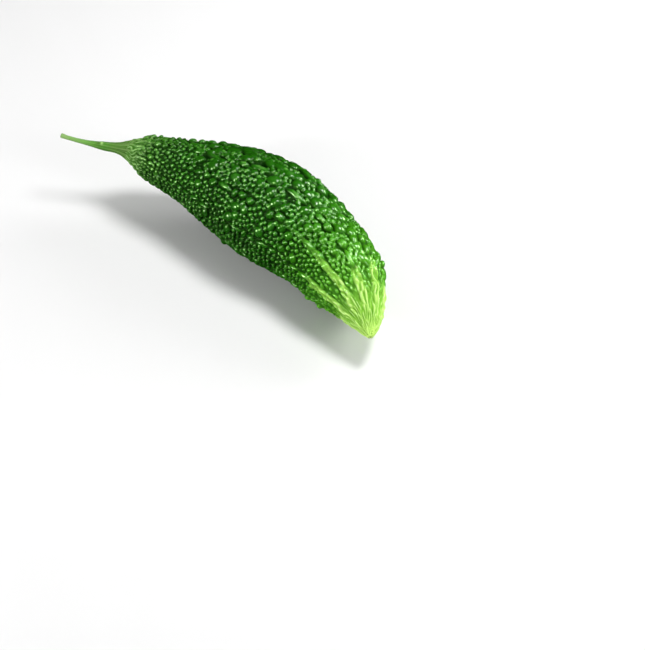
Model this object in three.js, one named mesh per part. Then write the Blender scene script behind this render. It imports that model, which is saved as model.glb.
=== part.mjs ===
// A bitter gourd as picked: one warty, ribbed fruit and the cut stem that it hung from, lying on its belly.
// Millimetres, +Z up, stem end towards -X, blossom tip towards +X. The origin is under the middle of the
// object's box, on the surface that its small flat spot rests on.

import * as THREE from "three";

// The fruit's centreline is one cubic from neck to tip. Heights are above the lowest wart before the flat
// spot takes it off.
const NECK = new THREE.Vector3(-104.5, 0, 44);
const NECK_PULL = new THREE.Vector3(-52, 28.4, 36.5);
const TIP_PULL = new THREE.Vector3(46, 51.6, 31.6);
const TIP = new THREE.Vector3(104.5, 0, 25.8);
const FLAT_SPOT_HEIGHT = 1.9;

// Radius over the tops of the warts, at shares of the way from neck to tip
const FATTEST_RADIUS = 34.2;
const FRUIT_PROFILE = [
  [0, 6.0],
  [0.03, 9.8],
  [0.1, 16.3],
  [0.2, 21.5],
  [0.35, 30.5],
  [0.5, FATTEST_RADIUS],
  [0.65, 29.5],
  [0.78, 25.0],
  [0.9, 14.4],
  [0.96, 6.8],
  [1, 1.0],
];

// Ribs run the whole length: lines of taller warts in the middle, and smooth ridges that meet at the tip
const RIB_COUNT = 10;
const FIRST_RIB_ANGLE = THREE.MathUtils.degToRad(18);
const RIDGE_HALF_WIDTH = 3.4;
const RIDGE_HEIGHT = 2.1;
const RIDGE_FROM = 0.66;
const RIDGE_FULL = 0.84;
const RIDGES_MEET_FROM = 0.88;

// Warts stand in staggered rows round the fruit, larger where it is fatter and pressed flat where it lies
const WART_SPACING = 9;
const WART_HEIGHT = 3.2;
const WART_SLIDE = 0.5;
const SMALLEST_WART = 0.6;
const WART_BETWEEN_RIBS = 0.84;
const WARTS_START = 0.03;
const WARTS_END = 0.9;
const WARTS_FULL_FROM = 0.1;
const WARTS_FULL_TO = 0.78;
const WARTS_GONE = 0.95;
const WART_SEED = 20260;
const RINGS_PER_ROW = 3;
const PRESSED_SHARE = 0.35;
const PRESSED_BELOW = 8;
const ROW_PITCH = Math.sqrt(3) / 2;

// The stem leaves the neck straight, bends a little and curls up at its cut end
const STEM_GAP = 0.3;
const STEM_STRAIGHT = 12.7;
const STEM_BEND = new THREE.Vector3(-21.9, -14.8, 3.2);
const STEM_CUT_END = new THREE.Vector3(-34.5, -21.4, 6.4);
const STEM_PROFILE = [
  [0, 5.6],
  [0.06, 4.7],
  [0.2, 3.4],
  [0.36, 2.6],
  [0.52, 1.9],
  [0.68, 1.5],
  [0.9, 1.35],
  [1, 1.5],
];
const STEM_RINGS = 14;
const STEM_RIDGE_SHARE = 0.07;
const SCAR_SHARE = 0.36;
const SCAR_HALF_LENGTH = 3;
const SCAR_HEIGHT = 0.6;
const SCAR_ANGLE = THREE.MathUtils.degToRad(60);

// How finely the tip's ridges and the curves are divided
const TIP_RING_SHARES = [0, 0.25, 0.5, 0.75, 0.92];
const FEWER_POINTS_FROM = 0.6;
const CURVE_DIVISIONS = 800;
const FULL_TURN = 2 * Math.PI;

const fruitLine = new THREE.CubicBezierCurve3(NECK, NECK_PULL, TIP_PULL, TIP);
fruitLine.arcLengthDivisions = CURVE_DIVISIONS;
const FRUIT_LENGTH = fruitLine.getLength();

// A repeatable run of numbers between 0 and 1
function seededRandom(seed) {
  let state = seed;
  return () => {
    state = (state * 48271) % 2147483647;
    return state / 2147483647;
  };
}

// A smooth curve through a list of [share, value], read at one share
function readProfile(profile, share) {
  const last = profile.length - 1;
  const slope = (i) => {
    const [x0, y0] = profile[Math.max(i - 1, 0)];
    const [x1, y1] = profile[Math.min(i + 1, last)];
    return (y1 - y0) / (x1 - x0);
  };
  let i = 0;
  while (i < last - 1 && share > profile[i + 1][0]) i += 1;
  const [x0, y0] = profile[i];
  const [x1, y1] = profile[i + 1];
  const width = x1 - x0;
  const t = (share - x0) / width;
  const start = (1 + 2 * t) * (1 - t) ** 2 * y0 + t * (1 - t) ** 2 * width * slope(i);
  const end = t * t * (3 - 2 * t) * y1 + t * t * (t - 1) * width * slope(i + 1);
  return start + end;
}

const fruitRadius = (share) => readProfile(FRUIT_PROFILE, share);
const fatness = (share) => fruitRadius(share) / FATTEST_RADIUS;
const wartSpacing = (share) => WART_SPACING * (0.5 + 0.5 * fatness(share));
const wartStrength = (share) =>
  THREE.MathUtils.smoothstep(share, 0, WARTS_FULL_FROM) *
  (1 - THREE.MathUtils.smoothstep(share, WARTS_FULL_TO, WARTS_GONE));

// The shorter way round from one angle to another
function turnBetween(from, to) {
  const turn = (to - from) % FULL_TURN;
  if (turn > Math.PI) return turn - FULL_TURN;
  if (turn < -Math.PI) return turn + FULL_TURN;
  return turn;
}

const ribAngle = (rib) => FIRST_RIB_ANGLE + (rib * FULL_TURN) / RIB_COUNT;

// Distance round the skin from the nearest rib
function awayFromRib(share, angle) {
  const rib = Math.round(((angle - FIRST_RIB_ANGLE) * RIB_COUNT) / FULL_TURN);
  return turnBetween(ribAngle(rib), angle) * fruitRadius(share);
}

// Rows of warts from neck to tip, each row turned half a wart against the last
function wartRows() {
  const random = seededRandom(WART_SEED);
  const rows = [];
  let share = WARTS_START;
  let turn = 0;
  while (share < WARTS_END) {
    const spacing = wartSpacing(share);
    const count = Math.round((FULL_TURN * fruitRadius(share)) / spacing);
    const warts = [];
    for (let i = 0; i < count; i += 1) {
      const angle = turn + (i * FULL_TURN) / count;
      const onRib = Math.abs(awayFromRib(share, angle)) < spacing / 2;
      warts.push({
        share,
        angle,
        reach: spacing / Math.sqrt(3),
        height: THREE.MathUtils.lerp(SMALLEST_WART, 1, random()) * (onRib ? 1 : WART_BETWEEN_RIBS),
        slideAlong: WART_SLIDE * (2 * random() - 1),
        slideRound: WART_SLIDE * (2 * random() - 1),
      });
    }
    rows.push({ share, count, turn, warts });
    share += (spacing * ROW_PITCH) / FRUIT_LENGTH;
    turn += Math.PI / count;
  }
  return rows;
}

const rows = wartRows();

// The wart that a place on the fruit belongs to, with its distance as a share of the wart's reach
function nearestWart(share, angle) {
  let found = null;
  let least = 1;
  for (const row of rows) {
    const along = (share - row.share) * FRUIT_LENGTH;
    if (Math.abs(along) > WART_SPACING) continue;
    for (const wart of row.warts) {
      const round = turnBetween(wart.angle, angle) * fruitRadius(share);
      const distance = Math.hypot(along, round) / wart.reach;
      if (distance < least) {
        least = distance;
        found = wart;
      }
    }
  }
  return { wart: found, distance: least };
}

// Height of the ridges that the ribs become towards the tip, lower again where they meet
function ridgeHeight(share, angle) {
  const halfWidth = Math.min(RIDGE_HALF_WIDTH, (fruitRadius(share) * Math.PI) / RIB_COUNT);
  const rising = THREE.MathUtils.smoothstep(share, RIDGE_FROM, RIDGE_FULL);
  const meeting = 1 - THREE.MathUtils.smoothstep(share, RIDGES_MEET_FROM, 1);
  return RIDGE_HEIGHT * rising * meeting * Math.max(0, 1 - Math.abs(awayFromRib(share, angle)) / halfWidth);
}

// A place on the fruit's skin, with its wart or rib raised
function fruitPoint(share, angle) {
  const { wart, distance } = nearestWart(share, angle);
  const strength = wartStrength(share);
  let wartHeight = 0;
  let slideAlong = 0;
  let slideRound = 0;
  if (wart) {
    wartHeight = WART_HEIGHT * strength * wart.height * Math.cos((distance * Math.PI) / 2);
    slideAlong = wart.slideAlong * strength;
    slideRound = wart.slideRound * strength;
  }
  const deepest = Math.max(WART_HEIGHT * strength, ridgeHeight(share, ribAngle(0)));
  const below = deepest - Math.max(wartHeight, ridgeHeight(share, angle));
  const outside = placeRound(fruitLine, share, angle, fruitRadius(share));
  const pressed = THREE.MathUtils.lerp(PRESSED_SHARE, 1, THREE.MathUtils.smoothstep(outside.z, 0, PRESSED_BELOW));
  const radius = fruitRadius(share) - below * pressed;
  return placeRound(fruitLine, share + slideAlong / FRUIT_LENGTH, angle + slideRound / radius, radius);
}

// A point at an angle and a radius round a curve: angle 0 is level, towards -Y on the fruit, and 90 degrees is up
function placeRound(line, share, angle, radius) {
  const along = line.getTangentAt(THREE.MathUtils.clamp(share, 0, 1));
  const side = new THREE.Vector3().crossVectors(along, new THREE.Vector3(0, 0, 1)).normalize();
  const up = new THREE.Vector3().crossVectors(side, along);
  return line
    .getPointAt(THREE.MathUtils.clamp(share, 0, 1))
    .addScaledVector(side, radius * Math.cos(angle))
    .addScaledVector(up, radius * Math.sin(angle));
}

// The angles of one ring of points, evenly spaced and starting just past angle 0. On the ridged part, the
// point nearest to each ridge moves onto it.
function ringAngles(count, turn, share = 1) {
  const step = FULL_TURN / count;
  const start = ((turn % step) + step) % step;
  const angles = Array.from({ length: count }, (_, i) => start + i * step);
  if (share < RIDGE_FROM) return angles;
  for (let rib = 0; rib < RIB_COUNT; rib += 1) {
    const target = ribAngle(rib) % FULL_TURN;
    const i = Math.round((target - start) / step);
    if (i >= 0 && i < count) angles[i] = target;
  }
  return angles;
}

// The rings of the fruit: plain ones at the neck, three to a row of warts, and ribbed ones at the tip
function fruitRings() {
  const rings = [];
  const neckCount = 2 * RIB_COUNT;
  for (const share of [0, WARTS_START / 2]) {
    rings.push({ share, angles: ringAngles(neckCount, FIRST_RIB_ANGLE) });
  }
  rows.slice(0, -1).forEach((row, k) => {
    const next = rows[k + 1];
    for (let ring = 0; ring < RINGS_PER_ROW; ring += 1) {
      const share = THREE.MathUtils.lerp(row.share, next.share, ring / RINGS_PER_ROW);
      const like = ring * 2 < RINGS_PER_ROW ? row : next;
      const count = like.count * RINGS_PER_ROW;
      const fromRow = like === row ? ring : ring - RINGS_PER_ROW;
      rings.push({ share, angles: ringAngles(count, like.turn + (fromRow * Math.PI) / count, share) });
    }
  });
  const lastRow = rows[rows.length - 1].share;
  for (const part of TIP_RING_SHARES) {
    const count = (part < FEWER_POINTS_FROM ? 4 : 2) * RIB_COUNT;
    rings.push({ share: THREE.MathUtils.lerp(lastRow, 1, part), angles: ringAngles(count, FIRST_RIB_ANGLE) });
  }
  return rings.map(({ share, angles }) => ({ angles, points: angles.map((angle) => fruitPoint(share, angle)) }));
}

// One closed surface over rings of points, whose counts may differ, with a point in the middle of each end
function skinOver(rings, firstPoint, lastPoint) {
  const positions = [firstPoint];
  const faces = [];
  rings.forEach((ring) => {
    ring.first = positions.length;
    positions.push(...ring.points);
  });
  positions.push(lastPoint);
  const vertex = (ring, i) => ring.first + (i % ring.points.length);
  const angle = (ring, i) => ring.angles[i % ring.angles.length] + (i >= ring.angles.length ? FULL_TURN : 0);
  for (let k = 0; k + 1 < rings.length; k += 1) {
    const a = rings[k];
    const b = rings[k + 1];
    let i = 0;
    let j = 0;
    while (i < a.points.length || j < b.points.length) {
      const advanceA = j === b.points.length || (i < a.points.length && angle(a, i + 1) < angle(b, j + 1));
      if (advanceA) {
        faces.push(vertex(a, i), vertex(b, j), vertex(a, i + 1));
        i += 1;
      } else {
        faces.push(vertex(a, i), vertex(b, j), vertex(b, j + 1));
        j += 1;
      }
    }
  }
  const start = rings[0];
  const end = rings[rings.length - 1];
  start.points.forEach((_, i) => faces.push(0, vertex(start, i), vertex(start, i + 1)));
  end.points.forEach((_, i) => faces.push(positions.length - 1, vertex(end, i + 1), vertex(end, i)));
  const geometry = new THREE.BufferGeometry().setFromPoints(positions);
  geometry.setIndex(faces);
  return geometry;
}

function fruitGeometry() {
  const geometry = skinOver(fruitRings(), NECK, TIP);
  const position = geometry.getAttribute("position");
  for (let i = 0; i < position.count; i += 1) {
    position.setZ(i, Math.max(position.getZ(i), FLAT_SPOT_HEIGHT));
  }
  return geometry;
}

function stemLine() {
  const along = fruitLine.getTangentAt(0);
  const foot = NECK.clone().addScaledVector(along, -STEM_GAP);
  return new THREE.CubicBezierCurve3(
    foot,
    foot.clone().addScaledVector(along, -STEM_STRAIGHT),
    foot.clone().add(STEM_BEND),
    foot.clone().add(STEM_CUT_END),
  );
}

// The stem: a ridge for each rib of the fruit, and the scar of a small leaf part way along
function stemGeometry() {
  const line = stemLine();
  const length = line.getLength();
  const angles = ringAngles(2 * RIB_COUNT, FIRST_RIB_ANGLE);
  const rings = [];
  for (let k = 0; k <= STEM_RINGS; k += 1) {
    const share = k / STEM_RINGS;
    const points = angles.map((angle) => {
      const ridge = 1 + STEM_RIDGE_SHARE * Math.cos((angle - FIRST_RIB_ANGLE) * RIB_COUNT);
      const scarAlong = ((share - SCAR_SHARE) * length) / SCAR_HALF_LENGTH;
      const scarAway = Math.hypot(scarAlong, turnBetween(SCAR_ANGLE, angle));
      const scar = SCAR_HEIGHT * Math.exp(-scarAway * scarAway);
      return placeRound(line, share, angle, readProfile(STEM_PROFILE, share) * ridge + scar);
    });
    rings.push({ angles, points });
  }
  return skinOver(rings, line.getPointAt(0), line.getPointAt(1));
}

const skin = new THREE.MeshStandardMaterial({ color: 0x2f7d1e, roughness: 0.38, metalness: 0 });
skin.name = "warty green skin";
const stalk = new THREE.MeshStandardMaterial({ color: 0x6f9c4c, roughness: 0.6, metalness: 0 });
stalk.name = "pale green stalk";

const fruit = new THREE.Mesh(fruitGeometry(), skin);
fruit.name = "fruit";
const stem = new THREE.Mesh(stemGeometry(), stalk);
stem.name = "stem";

// Both pieces move so that the origin is under the middle of the box, with the flat spot at height 0
const bitterGourd = new THREE.Group();
bitterGourd.name = "bitter gourd";
bitterGourd.add(fruit, stem);
const middle = new THREE.Box3().setFromObject(bitterGourd).getCenter(new THREE.Vector3());
for (const piece of [fruit, stem]) {
  piece.geometry.translate(-middle.x, -middle.y, -FLAT_SPOT_HEIGHT);
  piece.geometry.computeVertexNormals();
}

export default bitterGourd;
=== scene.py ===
# %% [markdown]
# # A bitter gourd, lying on its belly
# The imported model holds two solids, the fruit and its cut stem. They are right in size and place but
# faceted, and their warts are larger than life. Here each is replaced by a fine piece of the same form and
# given its skin. The first cell loads the solids, and a helper reads the box of one.

# %% Load the frame
import math

import bmesh
import bpy
import numpy as np
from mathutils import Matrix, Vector


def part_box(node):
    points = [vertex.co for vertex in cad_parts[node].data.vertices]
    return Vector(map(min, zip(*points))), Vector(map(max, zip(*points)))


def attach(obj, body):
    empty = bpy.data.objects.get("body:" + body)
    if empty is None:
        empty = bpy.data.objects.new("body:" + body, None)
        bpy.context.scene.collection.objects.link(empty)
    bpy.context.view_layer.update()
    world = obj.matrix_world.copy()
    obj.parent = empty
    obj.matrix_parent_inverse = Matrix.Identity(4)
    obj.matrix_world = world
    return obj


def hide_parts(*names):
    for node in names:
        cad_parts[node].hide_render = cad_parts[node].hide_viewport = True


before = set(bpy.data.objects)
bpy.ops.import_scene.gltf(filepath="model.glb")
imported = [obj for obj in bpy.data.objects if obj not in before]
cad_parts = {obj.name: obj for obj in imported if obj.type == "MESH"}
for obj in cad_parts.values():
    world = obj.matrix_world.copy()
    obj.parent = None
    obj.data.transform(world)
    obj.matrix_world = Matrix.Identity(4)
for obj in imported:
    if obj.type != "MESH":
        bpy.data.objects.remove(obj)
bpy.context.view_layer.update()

# %% [markdown]
# ## Sizes
# The fruit hangs on one smooth curve from its neck to its tip, as a real one grows. A list of radii along
# that curve gives its spindle outline. These are the same driving sizes that the solids were made from, so
# the fine pieces land on the solids with no fitting. All are in millimetres. SHIFT takes the curve from
# where it is drawn to the middle of the object's box, and MM turns millimetres into the scene's metres,
# both when a point is written to its mesh.

# %% Driving sizes
MM = 0.001
FULL_TURN = 2 * math.pi
SHIFT = np.array([17.783, -20.313, -1.9])
NECK = np.array([-104.5, 0, 44])
NECK_PULL = np.array([-52, 28.4, 36.5])
TIP_PULL = np.array([46, 51.6, 31.6])
TIP = np.array([104.5, 0, 25.8])

FATTEST_RADIUS = 34.2
FRUIT_PROFILE = [
    (0, 6.0), (0.03, 9.8), (0.1, 16.3), (0.2, 21.5), (0.35, 30.5), (0.5, FATTEST_RADIUS),
    (0.65, 29.5), (0.78, 25.0), (0.9, 14.4), (0.96, 6.8), (1, 1.0),
]
RIB_COUNT = 10
RIB_STEP = FULL_TURN / RIB_COUNT
FIRST_RIB_ANGLE = math.radians(18)

# %% [markdown]
# ## Curves and profiles
# A few small helpers carry the whole form. A cubic curve is walked in equal steps, so that a share of 0.5
# really is half way along. A profile is read as a smooth curve through its few points. And a point is
# placed round the curve by an angle and a radius, which bends any straight piece along it.

# %% Helpers for curves and profiles
CURVE_STEPS = 2000


def smooth_step(value, low, high):
    """0 below low, 1 above high, and an S-shaped rise between them."""
    t = np.clip((value - low) / (high - low), 0, 1)
    return t * t * (3 - 2 * t)


def short_way_round(turn):
    """The same turn, written as one of at most half a circle to either side."""
    return (turn + math.pi) % FULL_TURN - math.pi


def part_way(ends, share):
    """The value that is this share of the way from the first end to the second."""
    first, second = ends
    return first + (second - first) * share


def read_profile(profile, share):
    """A smooth curve through (share, value) points, read at many shares at once."""
    x, y = np.array(profile, float).T
    slope = np.gradient(y, x)
    slope[1:-1] = (y[2:] - y[:-2]) / (x[2:] - x[:-2])
    i = np.clip(np.searchsorted(x, share, side="right") - 1, 0, len(x) - 2)
    width = x[i + 1] - x[i]
    t = (share - x[i]) / width
    start = (1 + 2 * t) * (1 - t) ** 2 * y[i] + t * (1 - t) ** 2 * width * slope[i]
    end = t * t * (3 - 2 * t) * y[i + 1] + t * t * (t - 1) * width * slope[i + 1]
    return start + end


class Line:
    """A cubic curve that is read by its share of length, with a level and an upright direction across it."""

    def __init__(self, *points):
        self.points = points
        self.steps = np.linspace(0, 1, CURVE_STEPS + 1)
        gaps = np.linalg.norm(np.diff(self.at(self.steps), axis=0), axis=1)
        self.reach = np.concatenate([[0], np.cumsum(gaps)])
        self.length = self.reach[-1]

    def at(self, t):
        a, b, c, d = self.points
        t = np.asarray(t)[..., None]
        return (1 - t) ** 3 * a + 3 * t * (1 - t) ** 2 * b + 3 * t * t * (1 - t) * c + t**3 * d

    def place(self, share, angle, radius):
        """Points round the line: angle 0 is level, 90 degrees is up. A share under 0 runs straight back."""
        a, b, c, d = self.points
        inside = np.clip(share, 0, 1)
        t = np.interp(inside * self.length, self.reach, self.steps)
        s = t[..., None]
        along = (1 - s) ** 2 * (b - a) + 2 * s * (1 - s) * (c - b) + s * s * (d - c)
        along /= np.linalg.norm(along, axis=-1, keepdims=True)
        side = np.cross(along, [0, 0, 1])
        side /= np.linalg.norm(side, axis=-1, keepdims=True)
        up = np.cross(side, along)
        middle = self.at(t) + along * ((share - inside) * self.length)[..., None]
        across = np.cos(angle)[..., None] * side + np.sin(angle)[..., None] * up
        return middle + np.asarray(radius)[..., None] * across


def fruit_radius(share):
    return read_profile(FRUIT_PROFILE, share)


def fatness(share):
    """The fruit's radius at one place, as a share of its fattest."""
    return float(fruit_radius(share)) / FATTEST_RADIUS


fruit_line = Line(NECK, NECK_PULL, TIP_PULL, TIP)
print("fruit is", round(fruit_line.length, 1), "mm long on its middle line")

# %% [markdown]
# ## Where the rib lumps sit
# A real skin has well over two thousand warts. Along each rib stand the largest, some round and some long
# and low, and they are bolder on the fruit's upper side. Scattering them by pure chance would hide the ribs,
# so they are laid end to end along each rib, with a gap here and there. Three odd lumps are listed one by
# one: a long low one behind the neck, and two bold ones that stand out at the lower edge near the tip. Each
# wart is
# seven numbers: share, angle, half length, half width, height, how far it is turned, and its tone.

# %% Lay lumps along the ribs
BOLD_SIDE = math.radians(120)
LUMP_SIZE = 5.0
SIZE_BY_FATNESS = (0.35, 1)
SIZE_BY_BOLDNESS = (0.7, 1.12)
ROUND_CHANCE = (0.1, 0.65)
FIRST_LUMP = 0.035
FIRST_LUMP_SPREAD = 0.015
LAST_LUMP = 0.8
LUMP_STEP = 0.95
ROUND_LUMP = {"length": (0.55, 0.9), "width": (0.5, 0.72), "height": (2.4, 3.3)}
LONG_LUMP = {"length": (0.9, 1.8), "width": (0.36, 0.48), "height": (1.8, 2.5)}
BOLD_HEIGHT = 0.4
RIB_GAPS = 0.3
OFF_RIB = 1.0
LUMP_TURN = 0.12
PLAIN_TONE = 0.45
BOLD_TONE = 0.3
ODD_LUMPS = [
    (0.1, math.radians(128), 9.5, 1.2, 2.0, 0.0, 0.95),
    (0.77, math.radians(-20), 3.4, 2.4, 3.4, 0.3, 0.8),
    (0.82, math.radians(-22), 3.0, 2.2, 3.2, 0.0, 0.8),
]
random = np.random.default_rng(7)


def boldness(angle):
    """1 on the fruit's upper outer side and 0 opposite."""
    return 0.5 + 0.5 * math.cos(angle - BOLD_SIDE)


def lump_size(share, bold):
    """Lumps are larger where the fruit is fat and on its bold side."""
    return LUMP_SIZE * part_way(SIZE_BY_FATNESS, fatness(share)) * part_way(SIZE_BY_BOLDNESS, bold)


def rib_lumps():
    """Lumps end to end along each rib."""
    lumps = []
    for rib in range(RIB_COUNT):
        rib_angle = FIRST_RIB_ANGLE + rib * RIB_STEP
        bold = boldness(rib_angle)
        share = FIRST_LUMP + FIRST_LUMP_SPREAD * random.uniform()
        while share < LAST_LUMP:
            size = lump_size(share, bold)
            kind = ROUND_LUMP if random.uniform() < part_way(ROUND_CHANCE, bold) else LONG_LUMP
            half_length = size * random.uniform(*kind["length"])
            half_width = size * random.uniform(*kind["width"])
            height = random.uniform(*kind["height"]) + BOLD_HEIGHT * bold
            share += LUMP_STEP * half_length / fruit_line.length
            angle = rib_angle + random.normal(0, OFF_RIB) / float(fruit_radius(share))
            if random.uniform() > RIB_GAPS:
                turned = random.normal(0, LUMP_TURN)
                tone = random.uniform(0, PLAIN_TONE) + BOLD_TONE * bold
                lumps.append((share, angle, half_length, half_width, height, turned, tone))
            share += LUMP_STEP * half_length / fruit_line.length
    return np.array(lumps + ODD_LUMPS)


lumps = rib_lumps()
print(len(lumps), "rib lumps, up to", round(float(lumps[:, 2].max()) * 2, 1), "mm long")

# %% [markdown]
# ## Where the beads sit
# Between the ribs the warts are small round beads with a little bare skin around each. Pure chance would
# leave bald spots and heaps, and a plain grid would look stamped. So the beads start in staggered rows, each
# with a seeded jitter. They are smaller where the fruit is thin and longer near both ends, and a few big
# ones stand among them.

# %% Beads in staggered rows
WART_SPACING = 4.6
SPACING_BY_FATNESS = (0.62, 1)
ROW_PITCH = math.sqrt(3) / 2
FIRST_ROW = 0.03
LAST_ROW = 0.955
ROW_JITTER = 0.2
NEAR_NECK = (0.04, 0.14)
NEAR_TIP = (0.72, 0.86)
BEAD_HALF = (0.28, 0.42)
BIG_BEAD_HALF = (0.55, 0.85)
BIG_CHANCE = (0.018, 0.198)
BIG_BEADS_FROM = 0.25
BIG_BEADS_TO = 0.82
HALF_BY_BOLDNESS = (0.9, 1.2)
HALF_NEAR_END = (1, 0.78)
BEAD_STRETCH = (1.0, 1.35)
END_STRETCH = (0.1, 0.9)
BEAD_RISE = (0.8, 1.35)
HIGHEST_BEAD = 2.9
BEAD_TURN = 0.8
TURN_NEAR_END = (1, 0.4)


def one_bead(share, angle, spacing, near_end):
    """The half length, half width, height, turn and tone of one bead in a row."""
    bold = boldness(angle)
    may_be_big = BIG_BEADS_FROM < share < BIG_BEADS_TO
    big_one = may_be_big and random.uniform() < part_way(BIG_CHANCE, bold)
    half = spacing * random.uniform(*(BIG_BEAD_HALF if big_one else BEAD_HALF))
    half *= part_way(HALF_BY_BOLDNESS, bold) * part_way(HALF_NEAR_END, near_end)
    stretch = random.uniform(*BEAD_STRETCH) + near_end * random.uniform(*END_STRETCH)
    height = min(half * random.uniform(*BEAD_RISE), HIGHEST_BEAD)
    turned = random.normal(0, BEAD_TURN) * part_way(TURN_NEAR_END, near_end)
    tone = random.uniform(0, PLAIN_TONE if big_one else 1)
    return half * stretch, half, height, turned, tone


def staggered_beads():
    """Beads in rows round the fruit, each row half a step on from the one before."""
    beads = []
    share = FIRST_ROW
    row_turn = 0
    while share < LAST_ROW:
        spacing = WART_SPACING * part_way(SPACING_BY_FATNESS, fatness(share))
        count = int(round(FULL_TURN * float(fruit_radius(share)) / spacing))
        near_end = float(1 - smooth_step(share, *NEAR_NECK) + smooth_step(share, *NEAR_TIP))
        for i in range(count):
            place = share + random.normal(0, ROW_JITTER) * spacing / fruit_line.length
            angle = row_turn + (i + random.normal(0, ROW_JITTER)) * FULL_TURN / count
            beads.append((place, angle, *one_bead(share, angle, spacing, near_end)))
        share += spacing * ROW_PITCH / fruit_line.length
        row_turn += math.pi / count
    return np.array(beads)


beads = staggered_beads()
print(len(beads), "beads in rows")

# %% [markdown]
# ## Crowded beads move apart
# On a growing fruit each wart makes room for itself. Here every bead that stands too near another, or too
# near a lump, is pushed a little away from it, ten times over. A bead that is still buried in a lump after
# that is dropped. A long lump counts as a few round discs, so that one rule serves for all.

# %% Push crowded beads apart
PUSH_ROUNDS = 10
ELBOW_ROOM = 1.2
PUSH_STRENGTH = 0.3
BURIED_WITHIN = 0.6
BEADS_FROM = 0.025
BEADS_TO = 0.965
NO_GAP = 1e-6


def discs_along(lumps):
    """Each long lump as three round discs, so that beads keep clear of its whole length."""
    discs = []
    for share, angle, half_length, half_width, *_ in lumps:
        room = max(half_length - half_width, 0)
        for shift in (-room, 0, room):
            discs.append((share + shift / fruit_line.length, angle, half_width))
    return np.array(discs)


def push_apart(beads, lumps):
    """Moves crowded beads away from each other and from the lumps, and drops what is still buried."""
    fixed = discs_along(lumps)
    count = len(beads)
    for _ in range(PUSH_ROUNDS):
        share = np.concatenate([beads[:, 0], fixed[:, 0]])
        angle = np.concatenate([beads[:, 1], fixed[:, 1]])
        half = np.concatenate([beads[:, 3], fixed[:, 2]])
        radius = fruit_radius(np.clip(share, 0, 1))
        along = (beads[:, 0, None] - share) * fruit_line.length
        turn = short_way_round(beads[:, 1, None] - angle)
        around = turn * (radius[:count, None] + radius) / 2
        apart = np.hypot(along, around) + NO_GAP
        wanted = ELBOW_ROOM * (beads[:, 3, None] + half)
        push = np.clip(wanted - apart, 0, None) * PUSH_STRENGTH
        np.fill_diagonal(push, 0)
        beads[:, 0] += (push * along / apart).sum(axis=1) / fruit_line.length
        beads[:, 1] += (push * around / apart).sum(axis=1) / radius[:count]
    beads[:, 0] = np.clip(beads[:, 0], BEADS_FROM, BEADS_TO)
    buried = (apart[:, count:] < BURIED_WITHIN * wanted[:, count:]).any(axis=1)
    return beads[~buried]


beads = push_apart(beads, lumps)
print(len(beads), "beads stay")

# %% [markdown]
# ## A map of the skin's relief
# The relief could be pressed into the mesh wart by wart, but over a million points that is slow. So it is
# worked out first on a flat map of the skin: one row of the map is a ring of the fruit, and one column is a
# line along it. Each wart raises a nearly half-round dome where that is higher than what is there already.
# The places are first shifted by a gentle ripple, so that no wart is a perfect round or oval.

# %% A flat map of the skin
MAP_RINGS = 1400
MAP_COLUMNS = 1024
DOME_POWER = 0.52
WANDER = 1.2
WANDER_WAVES = 12
MIDDLE_TONE = 0.5
PATCH_MARGIN = 2
rings = np.linspace(0, 1, MAP_RINGS + 1)
columns = np.linspace(0, FULL_TURN, MAP_COLUMNS, endpoint=False)
map_share, map_angle = np.meshgrid(rings, columns, indexing="ij")
map_radius = fruit_radius(map_share)


def ripple(seed, shortest, longest, most_turns, waves=6):
    """A gentle wandering value over the skin, from a few sine waves with whole turns round it."""
    draw = np.random.default_rng(seed)
    total = np.zeros_like(map_share)
    for _ in range(waves):
        length = draw.uniform(shortest, longest)
        turns = draw.integers(1, most_turns + 1)
        phase = draw.uniform(0, FULL_TURN, 2)
        along = np.sin(map_share * fruit_line.length * FULL_TURN / length + phase[0])
        total += along * np.sin(map_angle * turns + phase[1])
    return total / waves


wart_map = np.zeros_like(map_share)
top_map = np.zeros_like(map_share)
tone_map = np.full_like(map_share, MIDDLE_TONE)
wander_along = WANDER * ripple(1, 3.5, 11.0, 34, WANDER_WAVES)
wander_round = WANDER * ripple(2, 3.5, 11.0, 34, WANDER_WAVES)
print("map of", map_share.shape, "places, shifted by up to", round(float(wander_along.max()), 2), "mm")


# %% Raise the warts
def map_patch(share, angle, half_length, half_width):
    """The part of the map within these distances of a place."""
    reach = half_length / fruit_line.length
    first = max(int((share - reach) * MAP_RINGS), 0)
    last = min(int((share + reach) * MAP_RINGS) + PATCH_MARGIN, MAP_RINGS + 1)
    radius = float(fruit_radius(np.clip(share, 0, 1)))
    spread = int(half_width / radius / FULL_TURN * MAP_COLUMNS) + PATCH_MARGIN
    spread = min(spread, MAP_COLUMNS // 2 - 1)
    middle = int(round(angle / FULL_TURN * MAP_COLUMNS))
    columns = np.arange(middle - spread, middle + spread + 1) % MAP_COLUMNS
    return np.ix_(np.arange(first, last), columns)


def raise_dome(share, angle, half_length, half_width, height, turned, tone):
    """Raises one wart on the map, and notes how near its own top each place is, and its tone."""
    room = half_width + abs(math.sin(turned)) * (half_length - half_width)
    patch = map_patch(share, angle, half_length + WANDER, room + WANDER)
    along = (map_share[patch] - share) * fruit_line.length + wander_along[patch]
    turn = short_way_round(map_angle[patch] - angle)
    around = turn * map_radius[patch] + wander_round[patch]
    lengthwise = along * math.cos(turned) + around * math.sin(turned)
    crosswise = around * math.cos(turned) - along * math.sin(turned)
    far = np.hypot(lengthwise / half_length, crosswise / half_width)
    share_up = np.clip(1 - far * far, 0, 1) ** DOME_POWER
    higher = height * share_up > wart_map[patch]
    wart_map[patch] = np.where(higher, height * share_up, wart_map[patch])
    top_map[patch] = np.where(higher, share_up, top_map[patch])
    tone_map[patch] = np.where(higher, tone, tone_map[patch])


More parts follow.
